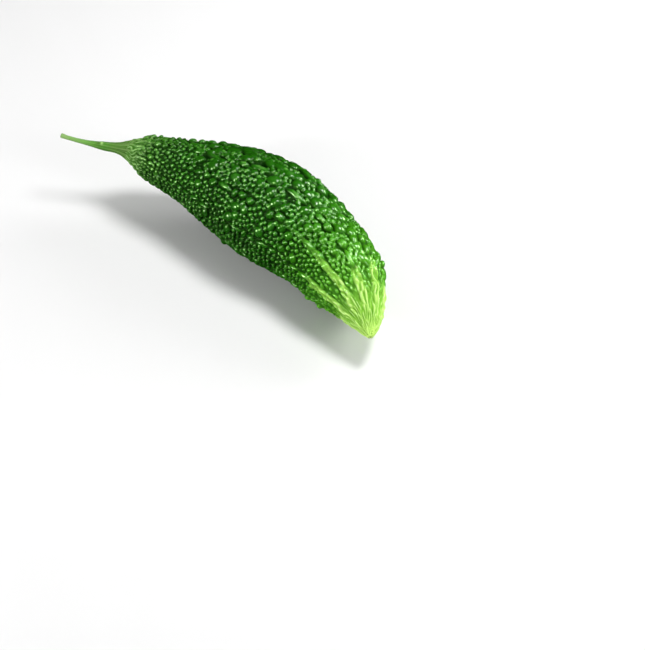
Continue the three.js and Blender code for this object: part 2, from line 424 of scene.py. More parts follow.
for wart in np.concatenate([lumps, beads]):
    raise_dome(*wart)
print("warts up to", round(float(wart_map.max()), 2), "mm high")

# %% [markdown]
# ## Small beads on bare skin
# Where the large lumps pushed the beads away, smooth patches are left that no real skin has. Small beads
# are tried all over, and each one stays whose middle part falls on bare skin. Trying thousands of times is
# crude, but it finds every bare patch without having to know where it is.

# %% Fill the bare skin
FILL_TRIES = 25000
FILL_FROM = 0.04
FILL_TO = 0.94
FILL_HALF = (0.55, 1.15)
FILL_STRETCH = (1, 1.6)
FILL_TURN = 0.6
MIDDLE_PART = 0.85


def fill_bare_skin():
    """Tries small beads at random places, and keeps each one whose middle part is still bare."""
    kept = 0
    for _ in range(FILL_TRIES):
        row = random.integers(int(FILL_FROM * MAP_RINGS), int(FILL_TO * MAP_RINGS))
        column = random.integers(MAP_COLUMNS)
        share, angle = map_share[row, column], map_angle[row, column]
        half = random.uniform(*FILL_HALF)
        if wart_map[map_patch(share, angle, MIDDLE_PART * half, MIDDLE_PART * half)].max() > 0:
            continue
        share += wander_along[row, column] / fruit_line.length
        angle += wander_round[row, column] / map_radius[row, column]
        half_length = half * random.uniform(*FILL_STRETCH)
        turned = random.normal(0, FILL_TURN)
        raise_dome(share, angle, half_length, half, half, turned, random.uniform())
        kept += 1
    return kept


print(fill_bare_skin(), "small beads on bare skin")

# %% [markdown]
# ## Ridges
# Towards the tip the lumps of each rib give way to a smooth pale band with a faint groove along its back.
# Each band starts at its own share of the way, the longest one before the middle of the fruit, and those
# that start late begin with a thick rounded end. Strips laid on the fruit would show their edges, so the
# bands are raised on the same map, and follow the ribs with a slow wander of their own.

# %% Bands along the ribs
RIDGE_HEIGHT = 1.8
RIDGE_HALF_WIDTH = 2.5
RIDGE_STARTS = np.array([0.7, 0.42, 0.8, 0.78, 0.84, 0.66, 0.55, 0.7, 0.6, 0.88])
RIDGE_FADE_IN = 0.3
BAND_POWER = 0.7
GROOVE_DEPTH = 0.4
GROOVE_HALF_WIDTH = 0.3
SLOW_SWAY = 1.8
QUICK_SWAY = 0.9
SWAY_AT_TIP = (1, 0.4)
RISE_PAST_MIDDLE = (0.6, 1)
RISE_AT_TIP = (1, 0.25)
WIDTH_PAST_MIDDLE = (0.75, 1.1)
LATE_START = 0.7
THICK_END_AT = 0.05
THICK_END_LENGTH = 0.04
THICK_END_EXTRA = 0.35
FULLEST_BAND = 0.42
SIDE_BAND_HEIGHT = 0.7
TIP_END = (0.9, 1.0)


def away_from_ribs(first_angle, wander):
    """Distance round the skin from the nearest rib, with its sign."""
    turn = (map_angle - first_angle + wander + RIB_STEP / 2) % RIB_STEP - RIB_STEP / 2
    return turn * map_radius


def banded(away, half_width, groove):
    """A rounded band, 1 along its back and 0 beyond its half width, with a groove along the back."""
    d = np.clip(np.abs(away) / half_width, 0, 1)
    return (1 - d * d) ** BAND_POWER - groove * np.exp(-((d / GROOVE_HALF_WIDTH) ** 2))


def rib_wander():
    """How far the bands stray from their ribs, as an angle, with quick bends that calm at the tip."""
    calm = part_way(SWAY_AT_TIP, smooth_step(map_share, 0.7, 0.85))
    sway = SLOW_SWAY * ripple(3, 18.0, 50.0, 4) + QUICK_SWAY * ripple(7, 6.0, 13.0, 20) * calm
    return sway / map_radius


wander = rib_wander()
rib_number = np.round((map_angle - FIRST_RIB_ANGLE + wander) / RIB_STEP).astype(int) % RIB_COUNT
ridge_start = RIDGE_STARTS[rib_number]
before_end = 1 - smooth_step(map_share, *TIP_END)
ridge_rise = smooth_step(map_share, ridge_start, ridge_start + RIDGE_FADE_IN * (1 - ridge_start))
ridge_rise *= part_way(RISE_PAST_MIDDLE, smooth_step(map_share, 0.6, 0.76))
ridge_rise *= part_way(RISE_AT_TIP, smooth_step(map_share, *TIP_END))
thick_end = np.exp(-(((map_share - ridge_start - THICK_END_AT) / THICK_END_LENGTH) ** 2))
thick_end *= ridge_start > LATE_START
uneven = 1 + 0.6 * ripple(4, 6.0, 16.0, 6)
band_width = RIDGE_HALF_WIDTH * part_way(WIDTH_PAST_MIDDLE, smooth_step(map_share, 0.6, 0.85))
band_width *= 1 + THICK_END_EXTRA * thick_end
band_width = np.minimum(band_width, map_radius * RIB_STEP * FULLEST_BAND)
bands = banded(away_from_ribs(FIRST_RIB_ANGLE, wander), band_width * (0.6 + 0.4 * uneven), GROOVE_DEPTH)
side_bands = banded(away_from_ribs(FIRST_RIB_ANGLE + RIB_STEP / 2, 2 * wander), 0.5 * band_width, 0)
ridge_part = RIDGE_HEIGHT * bands * ridge_rise * uneven
ridge_part += SIDE_BAND_HEIGHT * side_bands * smooth_step(map_share, 0.8, 0.92) * before_end
ridge_map = np.clip(bands * ridge_rise, 0, 1)
print("ridges up to", round(float(ridge_part.max()), 2), "mm high")

# %% [markdown]
# ## Fibres at the tip and lines at the neck
# The bands run together at the tip, with fine fibres along them. At the neck the skin comes out of the stem
# as a maze of short winding lines, and these break up into the first warts. Both are sine waves round the
# fruit whose places sway, which gives lines that fork and fade like grown ones. The whole relief is then put
# together, and the warts fade out where ridges and lines take over.

# %% Put the relief together
FIBRE_COUNT = 42
COARSE_FIBRE_COUNT = 23
COARSE_FIBRE_SHARE = 0.6
FIBRE_HEIGHT = 0.45
NECK_LINE_COUNT = 24
NECK_LINE_HEIGHT = 0.65
NECK_LINE_DEPTH = -0.3
LINES_OFF_RIDGES = 0.15
LOWER_PART = 0.3
SWELL_HEIGHT = 0.3
LEAST_WART = 0.1


def strands(count, sway):
    """Lines along the skin that sway: 1 on each line, and -1 half way between two."""
    return np.sin(count * map_angle + sway)


fibres = strands(FIBRE_COUNT, 9 * ripple(5, 10.0, 40.0, 12)) * (0.8 + 1.6 * ripple(6, 4.0, 10.0, 24))
fibres += COARSE_FIBRE_SHARE * strands(COARSE_FIBRE_COUNT, 8 * ripple(11, 9.0, 30.0, 9))
fibrous = np.maximum(smooth_step(ridge_map, 0.1, 0.6), smooth_step(map_share, 0.88, 0.95))
fibres *= smooth_step(map_share, 0.76, 0.88) * part_way((LINES_OFF_RIDGES, 1), fibrous)

neck_lines = strands(NECK_LINE_COUNT, 7 * ripple(8, 5.0, 14.0, 9)) * (0.7 + 1.5 * ripple(9, 3.0, 8.0, 12))
neck_fade = 1 - smooth_step(map_share, 0.015, 0.12)
neck_part = NECK_LINE_HEIGHT * np.clip(neck_lines, NECK_LINE_DEPTH, 1) * neck_fade

off_neck = smooth_step(map_share, 0.005, 0.07)
off_tip = 1 - smooth_step(map_share, 0.85, 0.965)
wart_part = wart_map * off_neck * part_way((LEAST_WART, 1), off_tip)
relief = np.maximum(wart_part, ridge_part) + LOWER_PART * np.minimum(wart_part, ridge_part)
relief += neck_part
relief += FIBRE_HEIGHT * fibres * (1 - smooth_step(map_share, 0.975, 1.0))
relief += SWELL_HEIGHT * ripple(10, 14.0, 40.0, 6)
print("relief up to", round(float(relief.max()), 2), "mm")

# %% [markdown]
# ## The fruit's mesh
# An icosphere has no seam and even triangles all over, so it makes a good start for a skin. Each of its
# points keeps its angle, and how far it is from the first pole says how far along the curve it goes. The map
# then says how high it stands. Where the fruit lies, its warts are pressed down and cut level, which is the
# flat spot that the solid rests on too. A Decimate modifier then takes points away where the skin is nearly
# plain.

# %% Helpers for meshes
def new_piece(name, mesh):
    piece = bpy.data.objects.new(name, mesh)
    bpy.context.scene.collection.objects.link(piece)
    return piece


def read_points(mesh):
    flat = np.empty(len(mesh.vertices) * 3, np.float32)
    mesh.vertices.foreach_get("co", flat)
    return flat.reshape(-1, 3).astype(float).T


def write_points(mesh, places):
    """Puts the points at places given in millimetres, where the curve is drawn."""
    mesh.vertices.foreach_set("co", ((places + SHIFT) * MM).astype(np.float32).ravel())


def store_values(mesh, stored):
    """Stores named values, one number of each to a point, for a material to read by name."""
    for name, values in stored.items():
        attribute = mesh.attributes.new(name, "FLOAT", "POINT")
        attribute.data.foreach_set("value", np.asarray(values, np.float32))


def face_outward(mesh):
    """Turns every face outwards, whichever way the shaping left it, and shades the mesh smooth."""
    turned = bmesh.new()
    turned.from_mesh(mesh)
    bmesh.ops.recalc_face_normals(turned, faces=turned.faces)
    turned.to_mesh(mesh)
    turned.free()
    mesh.shade_smooth()


def thin_out(piece, most):
    """Brings the piece under a count of triangles, and works the modifier in."""
    thin = piece.modifiers.new("thin", "DECIMATE")
    thin.ratio = most / len(piece.data.polygons)
    graph = bpy.context.evaluated_depsgraph_get()
    made = bpy.data.meshes.new_from_object(piece.evaluated_get(graph))
    piece.modifiers.clear()
    piece.data = made


# %% From the map to the skin
PRESSED_SHARE = 0.3
PRESSED_BELOW = 8
NECK_ROUNDING = 0.02
TIP_ROUNDING = 0.006
WART_ROOM = 2.6
RIDGE_ROOM = 1.2
DENT_ANGLE = math.radians(-50)
DENT_DEPTH = 2.2
DENT_DEEPENS = (-16, -4)
DENT_ENDS = (7, 14)


def read_map(values, share, angle):
    """Reads the map between its rows and columns, evenly mixed."""
    row = np.clip(share, 0, 1) * MAP_RINGS
    column = (angle / FULL_TURN % 1) * MAP_COLUMNS
    r = np.minimum(row.astype(int), MAP_RINGS - 1)
    c = column.astype(int) % MAP_COLUMNS
    next_c = (c + 1) % MAP_COLUMNS
    down = row - r
    over = column - column.astype(int)
    upper = values[r, c] * (1 - over) + values[r, next_c] * over
    lower = values[r + 1, c] * (1 - over) + values[r + 1, next_c] * over
    return upper * (1 - down) + lower * down


def quarter_round(share, width):
    """Rises from 0 to 1 over a width as a quarter of a circle does."""
    t = np.clip(share / width, 0, 1)
    return np.sqrt(t * (2 - t))


def neck_dent(distance, angle):
    """The neck is a little thinner on its lower side, from the stem to before the fruit's shoulder."""
    lower_side = 0.5 + 0.5 * np.cos(angle - DENT_ANGLE)
    dented = smooth_step(distance, *DENT_DEEPENS) * (1 - smooth_step(distance, *DENT_ENDS))
    return DENT_DEPTH * lower_side * dented


def skin_radius(share, angle, height):
    """How far the skin is from the middle line, with its warts pressed down where the fruit lies."""
    envelope = fruit_radius(share)
    outside = fruit_line.place(share, angle, envelope) + SHIFT
    pressed = part_way((PRESSED_SHARE, 1), smooth_step(outside[:, 2], 0, PRESSED_BELOW))
    wart_room = WART_ROOM * smooth_step(share, 0.0, 0.12) * (1 - smooth_step(share, 0.7, 0.93))
    ridge_room = RIDGE_ROOM * smooth_step(share, 0.6, 0.8) * (1 - smooth_step(share, *TIP_END))
    room = np.maximum(wart_room, ridge_room)
    radius = envelope - pressed * (room - height) - neck_dent(share * fruit_line.length, angle)
    rounded = quarter_round(share, NECK_ROUNDING) * quarter_round(1 - share, TIP_ROUNDING)
    return radius * rounded


# %% Shape the fruit
BALL_DIVISIONS = 9
MOST_TRIANGLES = 195000
SCAR_RADIUS = 1.5
SCAR_DEPTH = 1.0


def fruit_mesh():
    """A ball whose points are moved out onto the skin, with the values that the paint reads."""
    ball = bmesh.new()
    bmesh.ops.create_icosphere(ball, subdivisions=BALL_DIVISIONS, radius=1)
    mesh = bpy.data.meshes.new("warty_fruit")
    ball.to_mesh(mesh)
    ball.free()
    x, y, z = read_points(mesh)
    share = np.arccos(np.clip(z / np.sqrt(x * x + y * y + z * z), -1, 1)) / math.pi
    angle = np.arctan2(y, x)
    radius = skin_radius(share, angle, read_map(relief, share, angle))
    scar = smooth_step(share, *TIP_END) * np.clip(1 - radius / SCAR_RADIUS, 0, 1)
    place = fruit_line.place(share - SCAR_DEPTH * scar / fruit_line.length, angle, radius)
    place[:, 2] = np.maximum(place[:, 2], -SHIFT[2])
    write_points(mesh, place)
    store_values(mesh, {
        "along": share,
        "top": read_map(top_map * off_tip**0.5, share, angle),
        "ridge": read_map(ridge_map, share, angle),
        "tone": read_map(tone_map, share, angle),
        "fibre": read_map(fibres, share, angle),
        "neck_line": read_map(neck_lines * neck_fade, share, angle),
        "scar": scar,
    })
    return mesh


fruit = new_piece("warty_fruit", fruit_mesh())
face_outward(fruit.data)
fine_count = len(fruit.data.polygons)
thin_out(fruit, MOST_TRIANGLES)
print("fruit:", fine_count, "triangles thinned to", len(fruit.data.polygons))

# %% [markdown]
# ## The stem's outline
# The cut stem is nearly round all along, so it is a turned shape: a half outline, spun once round. It could
# be a tube along a curve, but the half outline also gives the foot inside the fruit and the hollowed cut end
# in one go. The foot's points are only counted out here, and get their radius from the fruit in the next
# step.

# %% Half outline of the stem
STEM_STRAIGHT = 12.7
STEM_BEND = np.array([-21.9, -14.8, 3.2])
STEM_CUT_END = np.array([-34.5, -21.4, 6.4])
STEM_PROFILE = [
    (0, 6.2), (0.06, 4.9), (0.2, 3.5), (0.36, 2.6),
    (0.52, 1.9), (0.68, 1.5), (0.9, 1.35), (1, 1.55),
]
STEM_ROOT_RADIUS = STEM_PROFILE[0][1]
STEM_END_RADIUS = STEM_PROFILE[-1][1]
FOOT_REACH = 8.5
FOOT_STEPS = 60
FOOT_MARK = 1.0
STEM_STEPS = 170
STEM_SIDES = 120
CUT_RINGS = [(0.3, 0.97), (0.52, 0.86), (0.6, 0.72), (0.5, 0.58), (0.36, 0.42), (0.3, 0.22)]
CUT_MIDDLE = 0.3
SAME_PLACE = 1e-5
stem_along = (NECK_PULL - NECK) / np.linalg.norm(NECK_PULL - NECK)
stem_line = Line(NECK, NECK - STEM_STRAIGHT * stem_along, NECK + STEM_BEND, NECK + STEM_CUT_END)


def half_outline():
    """(distance from the neck, radius) from inside the fruit to the middle of the cut end."""
    inside = np.linspace(-FOOT_REACH, 0, FOOT_STEPS, endpoint=False)
    outside = np.linspace(0, 1, STEM_STEPS)
    radii = read_profile(STEM_PROFILE, outside)
    foot = [(-FOOT_REACH, 0)] + [(float(x), FOOT_MARK) for x in inside]
    side = [(share * stem_line.length, float(radius)) for share, radius in zip(outside, radii)]
    cut = [(stem_line.length + rise, STEM_END_RADIUS * size) for rise, size in CUT_RINGS]
    return foot + side + cut + [(stem_line.length + CUT_MIDDLE, 0)]


def turned_stem():
    """The half outline, spun once round the first axis."""
    lathe = bmesh.new()
    outline = [lathe.verts.new((x, radius, 0)) for x, radius in half_outline()]
    edges = [lathe.edges.new(pair) for pair in zip(outline, outline[1:])]
    bmesh.ops.spin(
        lathe, geom=outline + edges, cent=(0, 0, 0), axis=(1, 0, 0), dvec=(0, 0, 0),
        angle=FULL_TURN, steps=STEM_SIDES, use_merge=True,
    )
    bmesh.ops.remove_doubles(lathe, verts=lathe.verts, dist=SAME_PLACE)
    mesh = bpy.data.meshes.new("cut_stem")
    lathe.to_mesh(mesh)
    lathe.free()
    return mesh


print("stem outline has", len(half_outline()), "points over", round(stem_line.length, 1), "mm")

# %% [markdown]
# ## The stem's shape
# The foot follows the fruit's own neck and sinks into it, first between the ribs and last on them, so that
# pale fingers run out over the fruit. The rest is bent along the stem's curve. It carries low ridges that
# go on from the fruit's ribs, and a leaf scar: a swelling with a small pale spot and a dip beside it. The
# stem's curve runs the other way from the fruit's, so the same place on both is at mirrored angles.

# %% Shape the stem
STEM_LINES = 26
LEAF_SCAR_SHARE = 0.36
LEAF_SCAR_ANGLE = math.radians(98)
LEAF_SCAR_LENGTH = 2.6
LEAF_SWELLING = {"middle": 0, "length": 1, "width": 0.7}
LEAF_SPOT = {"middle": 0, "length": 0.3, "width": 0.4}
LEAF_DIP = {"middle": 0.9, "length": 0.45, "width": 0.5}
SWELLING_HEIGHT = 0.3
SPOT_HEIGHT = 0.25
DIP_DEPTH = 0.2
KNOB_HEIGHT = 0.05
STEM_RIDGE_DEPTH = (0.075, 0.03)
FOOT_RISE = 0.2
FINGER_RISE = 0.3
FOOT_SLOPE = 0.14
FOOT_SINK = 0.6


def place_foot(deep, angle, rib, off_axis):
    """The foot's points, a depth inside the fruit's neck, each sunk under its skin by its own amount."""
    share = np.clip(deep / fruit_line.length, 0, 1)
    between_ribs = 0.5 - 0.5 * rib
    sunk = FOOT_SLOPE * deep * (0.6 + between_ribs)
    sunk += FOOT_SINK * smooth_step(deep, 0, 3) * between_ribs
    sunk += FOOT_SINK * smooth_step(deep, 4, FOOT_REACH)
    radius = fruit_radius(share) + FOOT_RISE + FINGER_RISE * rib - sunk
    radius -= neck_dent(deep, math.pi - angle)
    return fruit_line.place(share, math.pi - angle, np.where(off_axis, radius, 0))


def leaf_mark(share, angle, middle, length, width):
    """1 at one part of the leaf scar, and fading to 0 around it."""
    along = (share - LEAF_SCAR_SHARE) * stem_line.length / LEAF_SCAR_LENGTH
    around = short_way_round(angle - LEAF_SCAR_ANGLE)
    on_side = (share >= 0) & (share <= 1)
    return np.exp(-(((along - middle) / length) ** 2) - (around / width) ** 2) * on_side


def shaft_radius(share, angle, rib, turned):
    """The turned radius with its low ridges, small knobs and leaf scar."""
    on_side = (share >= 0) & (share <= 1)
    ridge_depth = part_way(STEM_RIDGE_DEPTH, smooth_step(share, 0.1, 0.7))
    knobs = KNOB_HEIGHT * np.sin(share * 61 + 2 * angle) * np.sin(share * 23 + 3 * angle)
    radius = turned * (1 + ridge_depth * rib * on_side) + knobs * on_side
    radius += SWELLING_HEIGHT * leaf_mark(share, angle, **LEAF_SWELLING)
    radius += SPOT_HEIGHT * leaf_mark(share, angle, **LEAF_SPOT)
    radius -= DIP_DEPTH * leaf_mark(share, angle, **LEAF_DIP)
    return radius


def stem_mesh():
    """The turned stem, with its foot in the fruit's neck and its shaft bent along its curve."""
    mesh = turned_stem()
    x, y, z = read_points(mesh)
    turned = np.hypot(y, z)
    angle = np.arctan2(z, y)
    rib = np.cos((angle - FIRST_RIB_ANGLE) * RIB_COUNT)
    share = x / stem_line.length
    foot = place_foot(-x, angle, rib, turned > FOOT_MARK / 2)
    dent = 1 - neck_dent(-x, math.pi - angle) * (x >= 0) / STEM_ROOT_RADIUS
    radius = np.where(turned > 0, shaft_radius(share, angle, rib, turned) * dent, 0)
    shaft = stem_line.place(share, angle, radius)
    write_points(mesh, np.where((x < 0)[:, None], foot, shaft))
    store_values(mesh, {
        "along": share,
        "ridge": 0.5 + 0.5 * rib,
        "line": np.sin(STEM_LINES * angle + 1.5 * np.sin(share * 9 + angle)),
        "spot": leaf_mark(share, angle, **LEAF_SPOT),
        "dip": leaf_mark(share, angle, **LEAF_DIP),
        "cut": np.where(share > 1.0, 1 - turned / STEM_END_RADIUS, -1),
    })
    return mesh


stem = new_piece("cut_stem", stem_mesh())
face_outward(stem.data)
print("stem:", len(stem.data.polygons), "faces")

# %% [markdown]
# ## Shader maths as plain expressions
# Materials are node trees, and wiring each node by hand hides the idea. A small class wraps one output, so
# that `0.5 - 0.2 * top` adds the right nodes by itself. Colours go through Mix nodes, because a Math node
# would turn them grey. Every other node comes from one method that takes its type, its settings and its
# inputs.

# %% A small language for finishes
class Wire:
    """One output of a node in a finish, which can be used in sums."""

    def __init__(self, finish, socket):
        self.finish = finish
        self.socket = socket

    def math(self, operation, first, second):
        return self.finish.node("Math", {"operation": operation}, {0: first, 1: second})

    def __add__(self, other):
        return self.math("ADD", self, other)

    def __radd__(self, other):
        return self.math("ADD", other, self)

    def __sub__(self, other):
        return self.math("SUBTRACT", self, other)

    def __rsub__(self, other):
        return self.math("SUBTRACT", other, self)

    def __mul__(self, other):
        return self.math("MULTIPLY", self, other)

    def __rmul__(self, other):
        return self.math("MULTIPLY", other, self)


class Finish:
    """A material with one Principled surface, built up from wires."""

    def __init__(self, name):
        self.material = bpy.data.materials.new(name)
        self.material.use_nodes = True
        self.tree = self.material.node_tree
        self.tree.nodes.clear()
        self.shader = self.tree.nodes.new("ShaderNodeBsdfPrincipled")
        out = self.tree.nodes.new("ShaderNodeOutputMaterial")
        self.tree.links.new(self.shader.outputs[0], out.inputs["Surface"])

    def feed(self, socket, value):
        if isinstance(value, Wire):
            self.tree.links.new(value.socket, socket)
        else:
            socket.default_value = value

    def node(self, kind, settings=None, sockets=None, output=0):
        made = self.tree.nodes.new("ShaderNode" + kind)
        for key, value in (settings or {}).items():
            if key == "stops":
                set_stops(made.color_ramp, value)
            else:
                setattr(made, key, value)
        for key, value in (sockets or {}).items():
            self.feed(made.inputs[key], value)
        return Wire(self, made.outputs[output])

    def surface(self, **sockets):
        """Feeds sockets of the surface by name, with _ for a space: wires, or numbers set on them."""
        for key, value in sockets.items():
            self.feed(self.shader.inputs[key.replace("_", " ")], value)

    def value(self, name):
        return self.node("Attribute", {"attribute_name": name}, output="Fac")

    def ramp(self, place, stops):
        return self.node("ValToRGB", {"stops": stops}, {"Fac": place})

    def band(self, value, low, high):
        """0 below low, 1 above high, and smooth between. Swap the two to turn it round."""
        settings = {"interpolation_type": "SMOOTHSTEP"}
        if low < high:
            return self.node("MapRange", settings, {0: value, 1: low, 2: high, 3: 0.0, 4: 1.0})
        return self.node("MapRange", settings, {0: value, 1: high, 2: low, 3: 1.0, 4: 0.0})

    def layered(self, colour, layers):
        """A colour with others laid over it in turn, each by its own amount."""
        settings = {"data_type": "RGBA", "blend_type": "MIX"}
        for amount, over in layers:
            colour = self.node("Mix", settings, {0: amount, 6: colour, 7: over}, output=2)
        return colour

    def noise(self, scale, detail):
        sockets = {"Vector": self.node("TexCoord", output="Object"), "Scale": scale, "Detail": detail}
        return self.node("TexNoise", {}, sockets)

    def bump(self, height, strength, distance):
        return self.node("Bump", {}, {"Strength": strength, "Distance": distance, "Height": height})


def set_stops(ramp, stops):
    """Puts (place, colour) stops on a colour ramp."""
    while len(ramp.elements) < len(stops):
        ramp.elements.new(0.5)
    for element, (place, colour) in zip(ramp.elements, stops):
        element.position = place
        element.color = colour


def paint(red, green, blue):
    """A colour in linear light, fully solid."""
    return (red, green, blue, 1.0)


# %% [markdown]
# ## Skin of the fruit
# The skin goes from a grey-green neck through deep green to a yellow-green tip. The valleys between the
# warts carry painted shade. The wart tops are lighter, partly a paler green and partly painted highlight,
# and many have a small painted glint. Ridges are paler still. A picture of a skin could be wrapped round the
# fruit, but it would not match these warts. So the colours follow the values stored on the points, and stay
# on the warts they belong to. The stops are places along the fruit, from neck to tip.

# %% Colours of the fruit
# painted shade: a near-black green laid in the valleys between the warts
PAINTED_VALLEY_SHADE = paint(0.001, 0.018, 0.0003)
FLANK_STOPS = [
    (0.0, paint(0.1, 0.23, 0.04)),
    (0.04, paint(0.045, 0.15, 0.016)),
    (0.08, paint(0.01, 0.06, 0.003)),
    (0.2, paint(0.004, 0.036, 0.0006)),
    (0.35, paint(0.0025, 0.028, 0.0005)),
    (0.6, paint(0.004, 0.04, 0.0006)),
    (0.75, paint(0.014, 0.1, 0.0015)),
    (0.86, paint(0.04, 0.18, 0.006)),
    (0.93, paint(0.24, 0.55, 0.05)),
    (1.0, paint(0.62, 0.92, 0.2)),
]
# wart tops: partly their own paler green, partly painted highlight
CROWN_TINT_AND_HIGHLIGHT_STOPS = [
    (0.0, paint(0.315, 0.46, 0.19)),
    (0.04, paint(0.18, 0.357, 0.095)),
    (0.08, paint(0.06, 0.2, 0.02)),
    (0.2, paint(0.024, 0.165, 0.005)),
    (0.35, paint(0.017, 0.135, 0.003)),
    (0.6, paint(0.021, 0.175, 0.003)),
    (0.75, paint(0.07, 0.32, 0.008)),
    (0.86, paint(0.15, 0.5, 0.03)),
    (0.93, paint(0.44, 0.78, 0.14)),
    (1.0, paint(0.7, 0.96, 0.26)),
]
RIDGE_STOPS = [
    (0.4, paint(0.025, 0.15, 0.008)),
    (0.6, paint(0.05, 0.215, 0.014)),
    (0.72, paint(0.13, 0.4, 0.036)),
    (0.85, paint(0.42, 0.77, 0.12)),
    (1.0, paint(0.74, 0.97, 0.3)),
]
# painted highlight: a pale green spot on the very tops of many beads
GLINT_GREEN = paint(0.17, 0.42, 0.085)
DARK_FIBRE = paint(0.15, 0.4, 0.025)
PALE_FIBRE = paint(0.7, 0.95, 0.33)
NECK_LINE = paint(0.3, 0.52, 0.17)
SCAR_BROWN = paint(0.2, 0.3, 0.04)
print(len(FLANK_STOPS) + len(CROWN_TINT_AND_HIGHLIGHT_STOPS) + len(RIDGE_STOPS), "stops for flanks, wart tops and ridges")

# %% [markdown]
# ## Wax on the fruit
# A waxy coat lies on the upper part of each wart alone, so each carries its own small highlight while the
# valleys stay dull and deep. The flesh under the skin lets a little light through, and a very fine bump
# breaks up the gloss. What is the same all over is set on the surface itself, and only what changes from
# place to place is wired in.

# %% Paint the fruit
PATCH_SCALE = 38.0
PATCH_DETAIL = 3.0
PATCH_REACH = 0.06
GRAIN_SCALE = 620.0
GRAIN_DETAIL = 2.0
GRAIN_STRENGTH = 0.2
GRAIN_DEPTH = 0.0006


def fruit_layers(skin, along, top, patchy):
    """The flanks' colour, and what is laid over it as (how much, colour), from wart tops with painted
    highlight and valleys with painted shade to the scar.
    """
    tone = skin.value("tone")
    fibre = skin.value("fibre")
    place = along + (patchy - 0.5) * PATCH_REACH
    off_ends = skin.band(along, 0.86, 0.62) * skin.band(along, 0.04, 0.12)
    return skin.ramp(place, FLANK_STOPS), [
        # lighter wart tops, partly a paler green and partly painted highlight
        (skin.band(top, 0.25, 0.95) * (0.55 + 0.6 * tone), skin.ramp(place, CROWN_TINT_AND_HIGHLIGHT_STOPS)),
        # painted shade in the valleys, fading up the sides of each wart
        (skin.band(top, 0.5, 0.0) * off_ends * (0.55 + 0.45 * patchy), PAINTED_VALLEY_SHADE),
        # painted highlight on the very tops of the beads
        (skin.band(top, 0.8, 0.99) * skin.band(tone, 0.25, 0.9) * 0.7, GLINT_GREEN),
        (skin.band(skin.value("ridge"), 0.2, 0.9) * 0.8, skin.ramp(along, RIDGE_STOPS)),
        (skin.band(fibre, 0.0, -0.7) * 0.8, DARK_FIBRE),
        (skin.band(fibre, 0.3, 0.9) * 0.6, PALE_FIBRE),
        (skin.band(skin.value("neck_line"), 0.05, 0.6) * 0.7, NECK_LINE),
        (skin.value("scar"), SCAR_BROWN),
    ]


def fruit_finish():
    skin = Finish("waxy_skin")
    top = skin.value("top")
    patchy = skin.noise(PATCH_SCALE, PATCH_DETAIL)
    flank, layers = fruit_layers(skin, skin.value("along"), top, patchy)
    skin.surface(
        Base_Color=skin.layered(flank, layers),
        Roughness=0.5 - 0.2 * skin.band(top, 0.3, 0.8),
        Coat_Weight=0.9 * skin.band(top, 0.45, 0.9),
        Coat_Roughness=0.2,
        Coat_Tint=paint(0.9, 1.0, 0.85),
        Specular_Tint=paint(0.5, 1.0, 0.35),
        Specular_IOR_Level=0.12,
        Subsurface_Weight=0.08,
        Subsurface_Radius=(0.4, 1.0, 0.2),
        Subsurface_Scale=0.0015,
        Normal=skin.bump(skin.noise(GRAIN_SCALE, GRAIN_DETAIL), GRAIN_STRENGTH, GRAIN_DEPTH),
    )
    return skin.material


fruit.data.materials.append(fruit_finish())
print("fruit wears", fruit.data.materials[0].name)

# %% [markdown]
# ## Skin of the stem
# The stem is paler and less glossy than the fruit. It is deep green at its foot and greyer towards the cut,
# with pale streaks along its ridges and fine lines between them. The leaf scar has one small pale spot and a
# dark dip beside it, and the cut end is dull. It is painted in layers like the fruit, and the fine lines are
# also its bump, so that colour and shape agree.

# %% Paint the stem
STALK_STOPS = [
    (0.0, paint(0.06, 0.16, 0.02)),
    (0.16, paint(0.055, 0.17, 0.015)),
    (0.3, paint(0.04, 0.19, 0.008)),
    (0.45, paint(0.055, 0.22, 0.012)),
    (0.62, paint(0.14, 0.35, 0.06)),
    (1.0, paint(0.26, 0.44, 0.14)),
]
STALK_RIDGE = paint(0.22, 0.38, 0.11)
STALK_LINE = paint(0.28, 0.42, 0.16)
STALK_CLOUD = paint(0.07, 0.2, 0.025)
PALE_SPOT = paint(0.45, 0.68, 0.24)
DARK_DIP = paint(0.06, 0.12, 0.02)
CUT_END = paint(0.09, 0.17, 0.04)
CLOUD_SCALE = 420.0
CLOUD_DETAIL = 4.0
LINE_STRENGTH = 0.35
LINE_DEPTH = 0.0003


def stem_finish():
    stalk = Finish("pale_stalk")
    cloudy = stalk.noise(CLOUD_SCALE, CLOUD_DETAIL)
    line = stalk.value("line")
    colour = stalk.layered(stalk.ramp(stalk.value("along"), STALK_STOPS), [
        (stalk.band(stalk.value("ridge"), 0.35, 1.0) * 0.35, STALK_RIDGE),
        (stalk.band(line, 0.2, 1.0) * 0.3, STALK_LINE),
        (stalk.band(cloudy, 0.55, 0.8) * 0.3, STALK_CLOUD),
        (stalk.value("spot") * 0.9, PALE_SPOT),
        (stalk.value("dip") * 0.7, DARK_DIP),
        (stalk.band(stalk.value("cut"), -0.5, 0.05) * 0.8, CUT_END),
    ])
    stalk.surface(
        Base_Color=colour,
        Roughness=0.45 + 0.2 * cloudy,
        Specular_Tint=paint(0.7, 1.0, 0.5),
        Specular_IOR_Level=0.25,
        Subsurface_Weight=0.08,
        Subsurface_Radius=(0.5, 1.0, 0.3),
        Subsurface_Scale=0.001,
        Normal=stalk.bump(line, LINE_STRENGTH, LINE_DEPTH),
    )
    return stalk.material


stem.data.materials.append(stem_finish())
print("stem wears", stem.data.materials[0].name)

# %% [markdown]
# ## Hand the pieces to the frame
# Each fine piece rides on the one body of the model and stands for its solid, which it hides.

